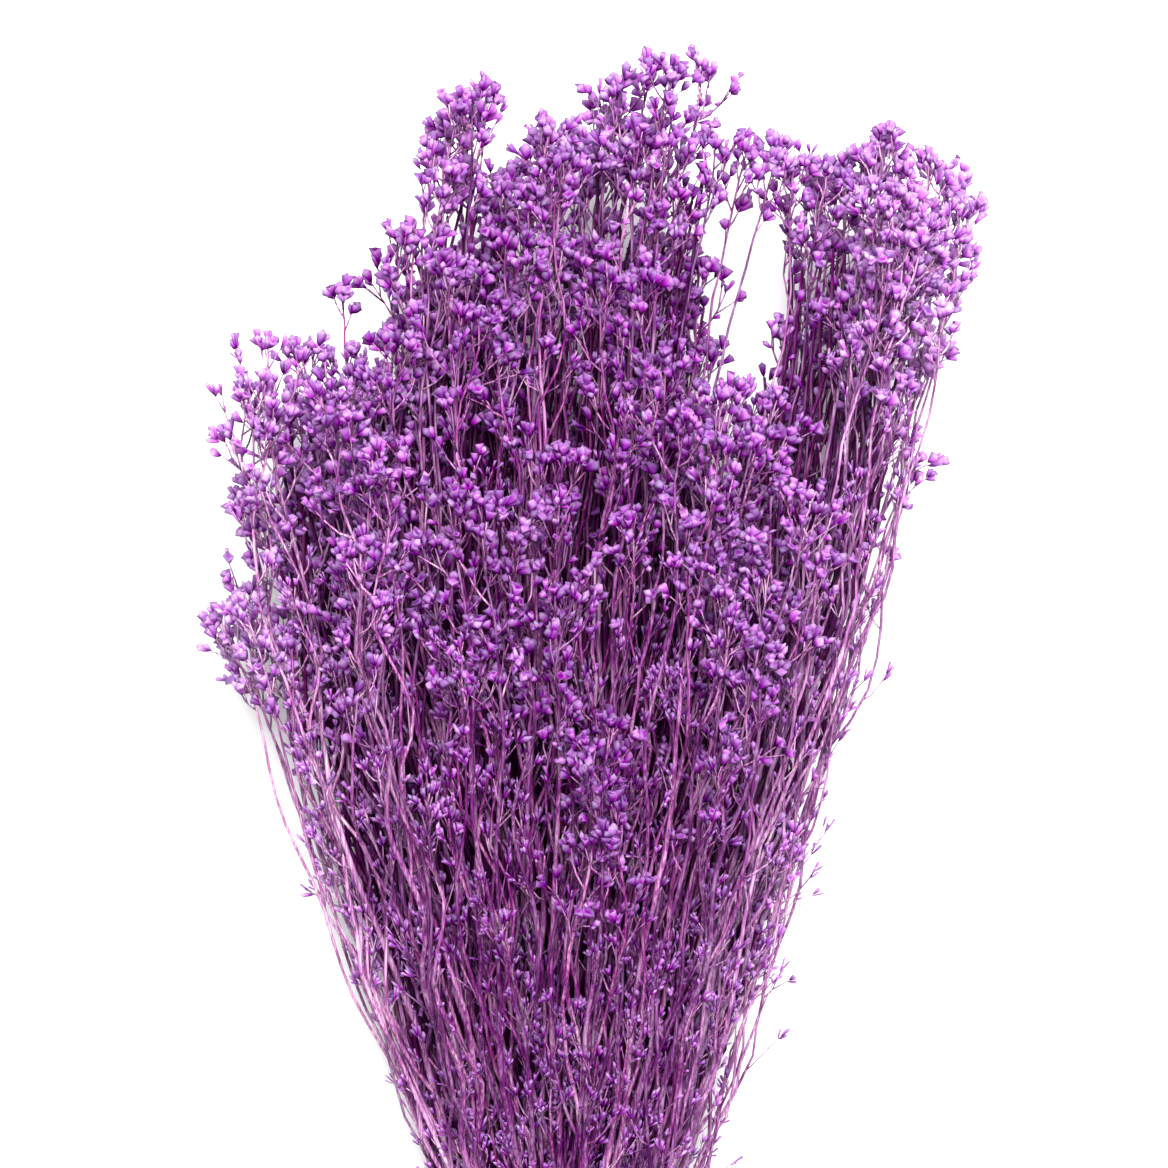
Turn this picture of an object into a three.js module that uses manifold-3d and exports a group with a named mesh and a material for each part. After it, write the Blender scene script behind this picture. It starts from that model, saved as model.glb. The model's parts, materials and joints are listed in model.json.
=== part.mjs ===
// A bunch of dyed, dried broom bloom, laid down on a flat surface.
//
// Millimetres, +Z up. The bunch lies along Y: its cut ends point to -Y and its heads to +Y.
// Each spray is one cut plant and one mesh: a slim stem that forks low, as a broom does, into
// long ascending shoots. A shoot ends in a plume of pods and bears short sprigs further down.
// A twine tie holds the sprays together.
//
// Every shoot follows a line of a fan. A line keeps its place (u, v) in the bunch's round
// cross-section while the section widens from the tie to the heads, so shoots never cross.

import * as THREE from 'three';
import { mergeVertices } from 'three/addons/utils/BufferGeometryUtils.js';
import Module from 'manifold-3d';

const wasm = await Module();
wasm.setup();

// The fan. Heights are measured along the bunch from the tie
const SPRAYS = 39;
const BUNDLE_RADIUS = 9.4;      // of the outermost stems' centres, inside the tie
const HEAD_HALF_WIDTH = 127;    // where the fan is widest
const HEAD_HALF_DEPTH = 78;
const FAN_HEIGHT = 465;         // where the fan is widest
const FAN_POWER = 1.2;          // how late the fan opens
const WAIST = 25;               // over which the stems curve out of the tie
const LEAN = 12;                // sideways, at the fan's height
const BUTT_SPREAD = 0.5;        // how much less they spread below the tie

// How the bunch rests: its underside is pressed flat under the heads
const REST_HEIGHT = 3;          // of the lowest shoots' centres above the surface
const REST_SHARE = 0.76;        // of the fan's half depth that is left below its middle
const PRESS_SOFTNESS = 5;
const PRESS_BITE = 0.5;         // how much of a pod that touches the surface is flattened off

// The bunch's upper outline in front view: [across, height above the tie]
const CROWN = [
  [-119, 322], [-110, 403], [-98, 414], [-79, 414], [-59, 402], [-52, 446], [-46, 455],
  [-42, 500], [-28, 500], [-20, 477], [-8, 483], [14, 511], [40, 509], [46, 480], [51, 400],
  [73, 400], [78, 474], [98, 484], [128, 474], [137, 450],
];
const CROWN_LEVEL = 430;        // the height at which a shoot's place across is taken
const DOME_HEIGHT = 512;        // the most that a stem reaches, where the outline is higher
const FACE_DROP = 245;          // how much lower that is on the bunch's two faces

// One spray: its stem, its side shoots and the sprigs on all of these. Off is how far a shoot
// runs from its parent's line, in (u, v), and reach is the height over which it swings out
const STEM = { radius: 1.3, root: [-62, -48], shorter: [0, 40], plume: [52, 76], pods: 1 };
const SIDE = {
  count: 2, radius: 0.85, off: 0.12, root: [35, 110], reach: 70, shorter: [0, 28],
  plume: [42, 62], pods: 0.9,
};
const SPRIG = { radius: 0.7, off: 0.09, length: [28, 42], plumeShare: 0.55, pods: 0.7 };
const LOWEST_SPRIG = 110;
const SPRIG_BELOW_PLUME = 20;
const STEM_STEP = 78;           // between the rings of a bare stem

// Pods stand in crossed pairs along a plume, wider apart the further they are from its tip
const CORE_RADIUS = 1.1;
const POD_REACH = [6, 14];      // from the shoot's middle
const POD_LIFT = [2, 8];        // how far a pod points forward
const POD_SWELL = [0.4, 1];     // its reach at the ends and in the middle of the plume
const POD_PITCH = 5.2;          // between the first two pairs below the tip
const PITCH_GROWTH = 1.14;
const TIP_LENGTH = 8;
const CLEARANCE = 0.15;         // half of the gap kept between two sprays
const SIDES = 4;

// The tie
const TWINE_RADIUS = 1.15;
const TWINE_TURNS = 5;
const TWINE_PITCH = 1.95;
const TIE_GAP = 0.35;
const TIE_BITE = 0.3;           // flattened off the tie where it rests
const TIE_SIDES = 16;
const KNOT_TURN = 0.47;         // round the tie, from its top
const KNOT_SIZE = [2.4, 3, 2.2];
const KNOT_END = [[0, 0, 0.5], [4, 3, 2.3], [8, 8, 1], [10, 14, 0]];

const PURPLE = 0x9a4fa6;
const JUTE = 0xb8925e;

const GOLDEN_ANGLE = Math.PI * (3 - Math.sqrt(5));
const TIE_INNER = (BUNDLE_RADIUS + STEM.radius + TIE_GAP) / Math.cos(Math.PI / TIE_SIDES);
const TIE_OUTER = TIE_INNER + 2 * TWINE_RADIUS;
const TIE_HALF_LENGTH = (TWINE_TURNS - 1) * TWINE_PITCH / 2 + TWINE_RADIUS;
const TIE_HEIGHT = TIE_OUTER * Math.cos(Math.PI / TIE_SIDES) - TIE_BITE;
const { clamp, lerp } = THREE.MathUtils;

// A small seeded random source, so that the bunch is the same every time.
function seeded(seed) {
  let state = seed >>> 0;
  return () => {
    state = (state + 0x6d2b79f5) >>> 0;
    let t = state;
    t = Math.imul(t ^ (t >>> 15), t | 1);
    t ^= t + Math.imul(t ^ (t >>> 7), t | 61);
    return ((t ^ (t >>> 14)) >>> 0) / 4294967296;
  };
}

// How far the fan has opened at a height above the tie, from 0 to 1.
function opening(height) {
  const run = (Math.hypot(height, WAIST) - WAIST) * (height < 0 ? BUTT_SPREAD : 1);
  return Math.sin(Math.min(run / FAN_HEIGHT, 1) * Math.PI / 2) ** FAN_POWER;
}

// The point at a height on the fan's line (u, v).
function fanPoint(u, v, height) {
  const open = opening(height);
  const halfWidth = lerp(BUNDLE_RADIUS, HEAD_HALF_WIDTH, open);
  const halfDepth = lerp(BUNDLE_RADIUS, HEAD_HALF_DEPTH, open);
  const middle = lerp(TIE_HEIGHT, REST_HEIGHT + REST_SHARE * HEAD_HALF_DEPTH, open);
  const lowest = REST_HEIGHT * open;
  const above = middle + v * halfDepth - lowest;
  const lean = LEAN * Math.max(0, height / FAN_HEIGHT) ** 4;
  return new THREE.Vector3(
    u * halfWidth + lean,
    height,
    lowest + (above + Math.hypot(above, PRESS_SOFTNESS * open)) / 2,
  );
}

// The outline's height over the line (u, v).
function outlineAt([u, v]) {
  const x = clamp(fanPoint(u, v, CROWN_LEVEL).x, CROWN[0][0], CROWN[CROWN.length - 1][0]);
  const next = Math.max(1, CROWN.findIndex(([at]) => at >= x));
  const [x0, y0] = CROWN[next - 1];
  const [x1, y1] = CROWN[next];
  return lerp(y0, y1, (x - x0) / (x1 - x0));
}

// The most that a stem on the line (u, v) reaches: the outline, or less towards the two faces.
function tipHeight([u, v]) {
  return Math.min(outlineAt([u, v]), DOME_HEIGHT - FACE_DROP * v * v);
}

// The place for one more line near (u, v): the most open of those at a given distance.
function openPlace([u, v], distance, taken) {
  let best = null;
  for (let k = 0; k < 16; k += 1) {
    const angle = k * Math.PI / 8;
    const place = [u + distance * Math.cos(angle), v + distance * Math.sin(angle)];
    const room = Math.min(...taken.map(([a, b]) => Math.hypot(a - place[0], b - place[1])));
    if (Math.hypot(...place) < 1 && (!best || room > best.room)) best = { room, place };
  }
  taken.push(best.place);
  return best.place;
}

// The shoots of every spray. A shoot leaves its parent at its root and ends at its tip, and
// its plume is the length below the tip that bears pods.
function planSprays() {
  const random = seeded(8024);
  const between = ([least, most]) => lerp(least, most, random());
  const sprays = Array.from({ length: SPRAYS }, (_, i) => {
    const radius = Math.sqrt((i + 0.5) / SPRAYS);
    const angle = i * GOLDEN_ANGLE;
    const place = [radius * Math.cos(angle), radius * Math.sin(angle)];
    const root = between(STEM.root);
    const tip = tipHeight(place) - between(STEM.shorter) * Math.abs(place[1]);
    return [{ ...STEM, place, root, tip, plume: between(STEM.plume) }];
  });
  const taken = sprays.map(([stem]) => stem.place);
  sprays.forEach((shoots) => {
    for (let k = 0; k < SIDE.count; k += 1) {
      const [stem] = shoots;
      const place = openPlace(stem.place, SIDE.off, taken);
      const root = between(SIDE.root);
      const tip = Math.min(stem.tip, outlineAt(place)) - between(SIDE.shorter);
      shoots.push({ ...SIDE, parent: stem, place, root, tip, plume: between(SIDE.plume) });
    }
  });
  sprays.forEach((shoots) => {
    [...shoots].forEach((parent) => {
      const place = openPlace(parent.place, SPRIG.off, taken);
      const highest = parent.tip - parent.plume - SPRIG_BELOW_PLUME;
      const root = between([LOWEST_SPRIG, highest]);
      const length = between(SPRIG.length);
      shoots.push({
        ...SPRIG, parent, place, root, reach: length,
        tip: root + length, plume: SPRIG.plumeShare * length,
      });
    });
  });
  return sprays;
}

// A shoot's place (u, v) at a height: it swings out from its parent's line to its own.
function placeAt(shoot, height) {
  if (!shoot.parent) return shoot.place;
  const from = placeAt(shoot.parent, height);
  const left = 1 - clamp((height - shoot.root) / shoot.reach, 0, 1);
  return shoot.place.map((value, k) => lerp(value, from[k], left * left));
}

function shootPoint(shoot, height) {
  return fanPoint(...placeAt(shoot, height), height);
}

// The heights at which a shoot has a ring of vertices, from its root up. A stem runs straight
// through the tie.
function ringHeights(shoot) {
  const podded = [];
  const plumeFrom = shoot.tip - shoot.plume;
  let pitch = POD_PITCH;
  for (let height = shoot.tip - TIP_LENGTH; height > plumeFrom; height -= pitch) {
    podded.unshift(height);
    pitch *= PITCH_GROWTH;
  }
  const bareFrom = shoot.parent ? shoot.root : TIE_HALF_LENGTH;
  const bareTo = podded[0] - pitch;
  const steps = Math.max(1, Math.ceil((bareTo - bareFrom) / STEM_STEP));
  const bare = Array.from({ length: steps + 1 }, (_, k) => lerp(bareFrom, bareTo, k / steps));
  if (!shoot.parent) bare.unshift(shoot.root, -TIE_HALF_LENGTH);
  return { bare, podded };
}

// A shoot's middle line, as segments. It starts on its parent's.
function lineOf(shoot) {
  const { bare, podded } = ringHeights(shoot);
  const points = [...bare, ...podded, shoot.tip].map((height) => shootPoint(shoot, height));
  if (shoot.parent) {
    const carrier = lineOf(shoot.parent).findLast(({ start }) => start.y <= shoot.root);
    carrier.at((shoot.root - carrier.start.y) / (carrier.end.y - carrier.start.y), points[0]);
  }
  return points.slice(1).map((point, k) => new THREE.Line3(points[k], point));
}

// The distance from a point to the nearest of a list of segments.
function distanceTo(point, segments) {
  const nearest = new THREE.Vector3();
  let least = Infinity;
  segments.forEach((segment) => {
    segment.closestPointToPoint(point, true, nearest);
    least = Math.min(least, nearest.distanceToSquared(point));
  });
  return Math.sqrt(least);
}

function solidOf(positions, triangles) {
  return new wasm.Manifold(new wasm.Mesh({
    numProp: 3,
    vertProperties: new Float32Array(positions),
    triVerts: new Uint32Array(triangles),
  }));
}

function solidOfGeometry(geometry) {
  geometry.deleteAttribute('normal');
  geometry.deleteAttribute('uv');
  const merged = mergeVertices(geometry, 1e-4);
  return solidOf(merged.attributes.position.array, merged.index.array);
}

// A closed surface through rings of vertices up to a pointed tip. Its root is a point too where
// one is given, and flat otherwise. Each face's diagonal joins the two vertices that bear no pod.
function loft(rings, tip, root) {
  const vertices = [...rings.flat(), tip];
  const faces = [];
  for (let k = 0; k + 1 < rings.length; k += 1) {
    for (let j = 0; j < SIDES; j += 1) {
      const a = k * SIDES + j;
      const b = k * SIDES + (j + 1) % SIDES;
      const [c, d] = [a + SIDES, b + SIDES];
      if ((j + k) % 2) faces.push([a, d, b], [a, c, d]);
      else faces.push([a, c, b], [b, c, d]);
    }
  }
  const last = (rings.length - 1) * SIDES;
  for (let j = 0; j < SIDES; j += 1) {
    const next = (j + 1) % SIDES;
    faces.push([last + j, rings.length * SIDES, last + next]);
    if (root) faces.push([next, rings.length * SIDES + 1, j]);
  }
  if (root) vertices.push(root);
  else faces.push([0, 1, 2], [0, 2, 3]);
  return solidOf(vertices.flatMap((p) => p.toArray()), faces.flat());
}

// One shoot's solid. Every second vertex of a plume's ring is drawn out to a pod. Pods keep
// clear of the spray's other shoots, and the whole shoot keeps clear of the other sprays.
function growShoot(shoot, siblings, others, random) {
  const { bare, podded } = ringHeights(shoot);
  const turn = Math.PI * random();
  const up = new THREE.Vector3(0, 0, 1);
  const ring = (height, k) => {
    const centre = shootPoint(shoot, height);
    const along = shootPoint(shoot, height + 3).sub(centre).normalize();
    const across = new THREE.Vector3().crossVectors(along, up).normalize();
    const over = new THREE.Vector3().crossVectors(across, along);
    const room = distanceTo(centre, others) / 2 - CLEARANCE;
    const podRoom = Math.min(room, Math.max(CORE_RADIUS, distanceTo(centre, siblings) / 2));
    const inPlume = height >= podded[0];
    const coreRadius = inPlume ? Math.min(shoot.radius, CORE_RADIUS) : shoot.radius;
    const share = clamp((shoot.tip - height) / shoot.plume, 0, 1);
    const swell = lerp(...POD_SWELL, Math.sin(Math.PI * share));
    return Array.from({ length: SIDES }, (_, j) => {
      const isPod = inPlume && (j + k) % 2 === 0;
      const reach = lerp(...POD_REACH, random()) * shoot.pods * swell;
      const lift = lerp(...POD_LIFT, random());
      const radius = isPod ? Math.min(reach, podRoom) : Math.min(coreRadius, room);
      const angle = turn + j * 2 * Math.PI / SIDES;
      const vertex = centre.clone()
        .addScaledVector(across, radius * Math.cos(angle))
        .addScaledVector(over, radius * Math.sin(angle))
        .addScaledVector(along, isPod ? lift : 0);
      vertex.z = Math.max(vertex.z, -PRESS_BITE);
      return vertex;
    });
  };
  const ringed = shoot.parent ? [...bare.slice(1), ...podded] : [...bare, ...podded];
  const root = shoot.parent ? lineOf(shoot)[0].start : null;
  return loft(ringed.map(ring), shootPoint(shoot, shoot.tip), root);
}

function meshOf(name, solid, material) {
  const { vertProperties, triVerts } = solid.getMesh();
  const geometry = new THREE.BufferGeometry();
  geometry.setAttribute('position', new THREE.BufferAttribute(vertProperties, 3));
  geometry.setIndex(new THREE.BufferAttribute(triVerts, 1));
  geometry.computeVertexNormals();
  const mesh = new THREE.Mesh(geometry, material);
  mesh.name = name;
  return mesh;
}

// What the surface takes off: everything below z = 0.
function underSurface() {
  const slab = new THREE.BoxGeometry(2000, 2000, 100);
  slab.translate(0, 0, -50);
  return solidOfGeometry(slab);
}

// The sprays, one mesh each.
function growSprays(surface) {
  const dyed = new THREE.MeshStandardMaterial({ color: PURPLE, roughness: 0.8, metalness: 0 });
  const plan = planSprays();
  const lines = plan.map((shoots) => shoots.map(lineOf));
  const random = seeded(77);
  return plan.map((shoots, i) => {
    const others = lines.filter((_, j) => j !== i).flat(2);
    const solids = shoots.map((shoot, k) => {
      const siblings = lines[i].filter((_, j) => j !== k).flat();
      return growShoot(shoot, siblings, others, random);
    });
    const spray = wasm.Manifold.union(solids).subtract(surface);
    return meshOf(`spray_${String(i + 1).padStart(2, '0')}`, spray, dyed);
  });
}

// Turns of twine side by side round the stems, as one ring, with a knot and its two ends.
function windTie(surface) {
  const jute = new THREE.MeshStandardMaterial({ color: JUTE, roughness: 0.95, metalness: 0 });
  const first = TWINE_RADIUS - TIE_HALF_LENGTH;
  const profile = [new THREE.Vector2(TIE_INNER, -TIE_HALF_LENGTH)];
  for (let turn = 0; turn < TWINE_TURNS; turn += 1) {
    [-0.8, 0, 0.8].forEach((angle) => profile.push(new THREE.Vector2(
      TIE_INNER + TWINE_RADIUS * (1 + Math.cos(angle)),
      first + turn * TWINE_PITCH + TWINE_RADIUS * Math.sin(angle),
    )));
  }
  profile.push(new THREE.Vector2(TIE_INNER, TIE_HALF_LENGTH), profile[0]);
  const ring = new THREE.LatheGeometry(profile, TIE_SIDES);
  const knot = new THREE.SphereGeometry(1, 8, 6);
  knot.scale(...KNOT_SIZE);
  knot.translate(0, 0, TIE_OUTER);
  const section = new THREE.Shape();
  section.absarc(0, 0, 0.8 * TWINE_RADIUS, 0, 2 * Math.PI);
  const ends = [-1, 1].map((side) => {
    const extrudePath = new THREE.CatmullRomCurve3(
      KNOT_END.map(([x, y, z]) => new THREE.Vector3(x * side, y, z + TIE_OUTER)),
    );
    return new THREE.ExtrudeGeometry(section, { extrudePath, steps: 5, curveSegments: 3 });
  });
  [knot, ...ends].forEach((geometry) => geometry.rotateY(KNOT_TURN));
  const solids = [ring, knot, ...ends].map((geometry) => {
    geometry.translate(0, 0, TIE_HEIGHT);
    return solidOfGeometry(geometry);
  });
  return meshOf('tie', wasm.Manifold.union(solids).subtract(surface), jute);
}

// The group stands with its origin under the middle of the whole bunch.
function buildBunch() {
  const surface = underSurface();
  const bunch = new THREE.Group();
  bunch.add(...growSprays(surface), windTie(surface));
  const box = new THREE.Box3().setFromObject(bunch);
  const middle = box.getCenter(new THREE.Vector3());
  bunch.position.set(-middle.x, -middle.y, -box.min.z);
  return bunch;
}

export default buildBunch();
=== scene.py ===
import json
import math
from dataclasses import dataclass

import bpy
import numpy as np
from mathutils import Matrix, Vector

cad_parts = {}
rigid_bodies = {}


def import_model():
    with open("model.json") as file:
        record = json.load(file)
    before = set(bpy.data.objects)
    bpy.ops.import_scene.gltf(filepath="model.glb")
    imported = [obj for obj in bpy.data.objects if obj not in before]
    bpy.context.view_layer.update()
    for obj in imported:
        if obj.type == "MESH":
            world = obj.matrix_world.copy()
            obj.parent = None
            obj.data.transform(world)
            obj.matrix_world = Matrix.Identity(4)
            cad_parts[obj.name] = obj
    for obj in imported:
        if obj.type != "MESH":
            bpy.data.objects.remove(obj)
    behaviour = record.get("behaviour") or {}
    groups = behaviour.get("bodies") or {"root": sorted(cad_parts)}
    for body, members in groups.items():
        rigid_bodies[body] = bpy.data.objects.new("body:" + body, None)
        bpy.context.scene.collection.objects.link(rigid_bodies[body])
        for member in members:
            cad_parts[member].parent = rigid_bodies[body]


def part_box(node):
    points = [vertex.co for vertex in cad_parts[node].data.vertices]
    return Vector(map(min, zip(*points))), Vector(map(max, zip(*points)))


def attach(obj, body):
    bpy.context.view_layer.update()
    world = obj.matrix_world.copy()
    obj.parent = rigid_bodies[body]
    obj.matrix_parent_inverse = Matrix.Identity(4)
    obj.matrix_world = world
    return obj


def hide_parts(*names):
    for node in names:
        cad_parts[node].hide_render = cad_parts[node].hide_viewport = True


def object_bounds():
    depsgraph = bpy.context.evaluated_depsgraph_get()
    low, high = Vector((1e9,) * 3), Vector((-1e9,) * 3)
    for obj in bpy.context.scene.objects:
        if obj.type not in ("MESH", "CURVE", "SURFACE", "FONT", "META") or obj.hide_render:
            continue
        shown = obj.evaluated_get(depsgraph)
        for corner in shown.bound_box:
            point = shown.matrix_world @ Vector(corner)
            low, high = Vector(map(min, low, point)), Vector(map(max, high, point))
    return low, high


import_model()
cad_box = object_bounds()

# A bunch of dyed, dried broom bloom, laid down on a pale surface: its looks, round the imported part.
#
# The shoots are planned by the rule of the part's source, from the same seed. Thin shoots and
# sprigs are added between them, and all are then grown again with forks, twigs and pods.
# Lengths are millimetres in the tie's frame: x across the bunch, y its height above the tie and
# z above the surface. The meshes are in metres, in the row's frame.

# The fan, as in the part's source
SPRAYS = 39
BUNDLE_RADIUS = 9.4         # of the outermost stems' centres, inside the tie
HEAD_HALF_WIDTH = 127       # where the fan is widest
HEAD_HALF_DEPTH = 78
FAN_HEIGHT = 465            # where the fan is widest
FAN_POWER = 1.2             # how late the fan opens
WAIST = 25                  # over which the stems curve out of the tie
LEAN = 12                   # sideways, at the fan's height
LEAN_POWER = 4              # how late they lean
BUTT_SPREAD = 0.5           # how much less they spread below the tie
REST_HEIGHT = 3             # of the lowest shoots' centres above the surface
REST_SHARE = 0.76           # of the fan's half depth that is left below its middle
PRESS_SOFTNESS = 5
CROWN = (                   # the outline of the heads: (across, height)
    (-119, 322), (-110, 403), (-98, 414), (-79, 414), (-59, 402), (-52, 446), (-46, 455),
    (-42, 500), (-28, 500), (-20, 477), (-8, 483), (14, 511), (40, 509), (46, 480), (51, 400),
    (73, 400), (78, 474), (98, 484), (128, 474), (137, 450),
)
CROWN_LEVEL = 430           # the height at which a shoot's place across is taken
DOME_HEIGHT = 512           # the most that a stem reaches, where the outline is higher
FACE_DROP = 245             # how much lower that is on the bunch's two faces
PLAN_SEED = 8024
DIRECTIONS = 16             # tried round a shoot for the place of the next one

# The shoots, as in the part's source. A pair is a range to draw from. A shoot leaves its
# carrier at its root, swings out over its reach to a line that is off from the carrier's, ends
# shorter than the outline, and bears pods over its plume.
STEM = dict(radius=1.3, root=(-62, -48), shorter=(0, 40), plume=(52, 76))
SIDE = dict(
    count=2, radius=0.85, off=0.12, root=(35, 110), reach=70, shorter=(0, 28), plume=(42, 62),
)
SPRIG = dict(radius=0.7, off=0.09, lowest=110, length=(28, 42), plume_share=0.55)
SPRIG_BELOW_PLUME = 20

# The shoots that only the looks have: thin ones and fine sprigs between the others, and ones
# behind them that are darkened as painted shade, on which u and v are shares of the fan's width and
# depth
THIN = dict(
    count=3, radius=0.72, off=0.08, root=(20, 120), reach=90, shorter=(0, 100), plume=(34, 54),
)
FINE_SPRIG = dict(count=6, radius=0.45, off=0.06, lowest=60, length=(14, 32), plume_share=0.6)
BACK = dict(
    count=620, radius=1.05, root=(8, 70), reach=110, u=0.9, v=(-0.85, 0.1), shorter=(24, 90),
)
THIN_SEED = 311
BACK_SEED = 97

# The shoots that are listed one by one
PLACED = dict(radius=0.55, reach=120)
TUFT_LENGTH = 200
EDGE_ROOT = 10

# Tufts that complete the outline: (across at the crown's level, v, tip, plume, bow to the right)
TUFTS = (
    (-46, 0.05, 480, 20, 0), (-43, -0.2, 488, 26, 0), (-40, 0.15, 494, 30, 0),
    (-37, -0.05, 493, 28, 0), (-34, 0.2, 496, 30, 0), (-42, 0.3, 470, 22, 0),
    (-56, 0.1, 450, 18, 0), (-8, 0.3, 486, 26, 0), (-4, 0.1, 484, 26, 0),
    (2, -0.1, 486, 24, 0), (13, 0.05, 505, 22, 0), (10, -0.2, 500, 22, 0),
    (26, 0.2, 505, 26, 0), (46, 0.1, 482, 24, -3), (57, -0.1, 482, 26, -6),
    (66, 0.1, 481, 24, -9), (75, 0.15, 474, 24, 0), (84, 0.1, 473, 30, 0),
    (90, -0.2, 476, 30, 0), (104, 0.2, 482, 30, 0), (118, 0.1, 476, 30, 0),
    (130, 0.1, 458, 24, 0), (131, -0.15, 444, 26, 0), (130, 0.3, 430, 24, 0),
    (-73, -0.1, 434, 5, 0), (-128, 0.1, 322, 26, 0), (-123, -0.15, 330, 28, 0),
    (-118, 0.3, 326, 26, 0), (-124, -0.3, 316, 24, 0),
)
# Thin shoots that bow out at the sides, in the same terms
EDGES = (
    (127, 0.15, 300, 14, 6), (126, -0.15, 280, 14, 9), (126, -0.35, 330, 14, 6),
    (125, 0.4, 250, 14, 9), (126, 0.0, 385, 14, 4), (124, -0.5, 230, 14, 10),
    (122, 0.1, 215, 14, 12), (-111, 0.1, 250, 14, -4), (-108, -0.3, 290, 14, -4),
)

# The tie, as in the part's source
STEM_GAP = 0.35
TWINE_RADIUS = 1.15
TWINE_TURNS = 5
TWINE_PITCH = 1.95
TIE_BITE = 0.3              # flattened off the tie where it rests
TIE_SIDES = 16
KNOT_TURN = 0.47            # round the tie, from its top
TIE_INNER = (BUNDLE_RADIUS + STEM["radius"] + STEM_GAP) / math.cos(math.pi / TIE_SIDES)
TIE_OUTER = TIE_INNER + 2 * TWINE_RADIUS
TIE_HALF_LENGTH = (TWINE_TURNS - 1) * TWINE_PITCH / 2 + TWINE_RADIUS
TIE_HEIGHT = TIE_OUTER * math.cos(math.pi / TIE_SIDES) - TIE_BITE

GOLDEN_ANGLE = math.pi * (3 - math.sqrt(5))
FULL_TURN = 2 * math.pi
MM = 0.001
lowest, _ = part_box("tie")
# The tie's frame in the row's, in metres
TIE_PLACE = np.array([lowest.x + TIE_OUTER * MM, lowest.y + TIE_HALF_LENGTH * MM, 0])


# The plan of the shoots

def lerp(start, end, share):
    return (1 - share) * start + share * end


def seeded(seed):
    """The part's small random source, as a draw between two ends."""
    state = seed
    mask = 0xFFFFFFFF

    def between(ends):
        nonlocal state
        state = (state + 0x6D2B79F5) & mask
        t = ((state ^ (state >> 15)) * (state | 1)) & mask
        t ^= (t + (t ^ (t >> 7)) * (t | 61)) & mask
        return lerp(*ends, (t ^ (t >> 14)) / 2**32)

    return between


def opening(height):
    """How far the fan has opened at each height, from 0 to 1."""
    run = (np.hypot(height, WAIST) - WAIST) * np.where(height < 0, BUTT_SPREAD, 1)
    return np.sin(np.minimum(run / FAN_HEIGHT, 1) * math.pi / 2) ** FAN_POWER


def fan_points(u, v, height):
    """The points at these heights on the fan's line (u, v)."""
    height = np.asarray(height, float)
    opened = opening(height)
    half_width = lerp(BUNDLE_RADIUS, HEAD_HALF_WIDTH, opened)
    half_depth = lerp(BUNDLE_RADIUS, HEAD_HALF_DEPTH, opened)
    middle = lerp(TIE_HEIGHT, REST_HEIGHT + REST_SHARE * HEAD_HALF_DEPTH, opened)
    least = REST_HEIGHT * opened
    above = middle + v * half_depth - least
    lean = LEAN * np.maximum(0, height / FAN_HEIGHT) ** LEAN_POWER
    z = least + (above + np.hypot(above, PRESS_SOFTNESS * opened)) / 2
    return np.stack([u * half_width + lean, height, z], -1)


def outline_at(place):
    """The height of the bunch's outline over the line (u, v)."""
    across = fan_points(*place, CROWN_LEVEL)[0]
    return np.interp(across, [x for x, _ in CROWN], [y for _, y in CROWN])


def tip_height(place):
    """The most that a stem on this line reaches: the outline, or less towards the two faces."""
    return min(outline_at(place), DOME_HEIGHT - FACE_DROP * place[1] ** 2)


def open_place(near, distance, taken):
    """The place for one more line near (u, v): the most open of those at a given distance."""
    best = None
    most = 0
    for k in range(DIRECTIONS):
        angle = k * FULL_TURN / DIRECTIONS
        u = near[0] + distance * math.cos(angle)
        v = near[1] + distance * math.sin(angle)
        room = min(math.hypot(a - u, b - v) for a, b in taken)
        if math.hypot(u, v) < 1 and (best is None or room > most):
            best = (u, v)
            most = room
    taken.append(best)
    return best


@dataclass(eq=False)
class Shoot:
    place: tuple            # its line of the fan
    root: float             # heights above the tie
    tip: float
    plume: float            # the length below the tip that bears pods
    radius: float
    parent: "Shoot" = None
    reach: float = 1        # the height over which it swings out from its parent
    kind: str = "stem"
    bow: float = 0          # how far it bows to the right, halfway up


def plan_sprays():
    """The shoots of every spray, as in the part's source, and the places that they take."""
    between = seeded(PLAN_SEED)
    sprays = []
    for i in range(SPRAYS):
        radius = math.sqrt((i + 0.5) / SPRAYS)
        place = (radius * math.cos(i * GOLDEN_ANGLE), radius * math.sin(i * GOLDEN_ANGLE))
        root = between(STEM["root"])
        tip = tip_height(place) - between(STEM["shorter"]) * abs(place[1])
        sprays.append([Shoot(place, root, tip, between(STEM["plume"]), STEM["radius"])])
    taken = [shoots[0].place for shoots in sprays]
    for shoots in sprays:
        for _ in range(SIDE["count"]):
            shoots.append(side_shoot("side", SIDE, shoots[0], taken, between))
    for shoots in sprays:
        for parent in list(shoots):
            shoots.append(sprig("sprig", SPRIG, parent, taken, between))
    return sprays, taken


def side_shoot(kind, rule, stem, taken, between):
    """A shoot that leaves the stem low down and rises beside it."""
    place = open_place(stem.place, rule["off"], taken)
    root = between(rule["root"])
    tip = min(stem.tip, outline_at(place)) - between(rule["shorter"])
    plume = between(rule["plume"])
    return Shoot(place, root, tip, plume, rule["radius"], stem, rule["reach"], kind)


def sprig(kind, rule, parent, taken, between):
    """A short shoot that leaves its parent somewhere below the plume."""
    place = open_place(parent.place, rule["off"], taken)
    root = between((rule["lowest"], parent.tip - parent.plume - SPRIG_BELOW_PLUME))
    length = between(rule["length"])
    plume = rule["plume_share"] * length
    return Shoot(place, root, root + length, plume, rule["radius"], parent, length, kind)


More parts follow.
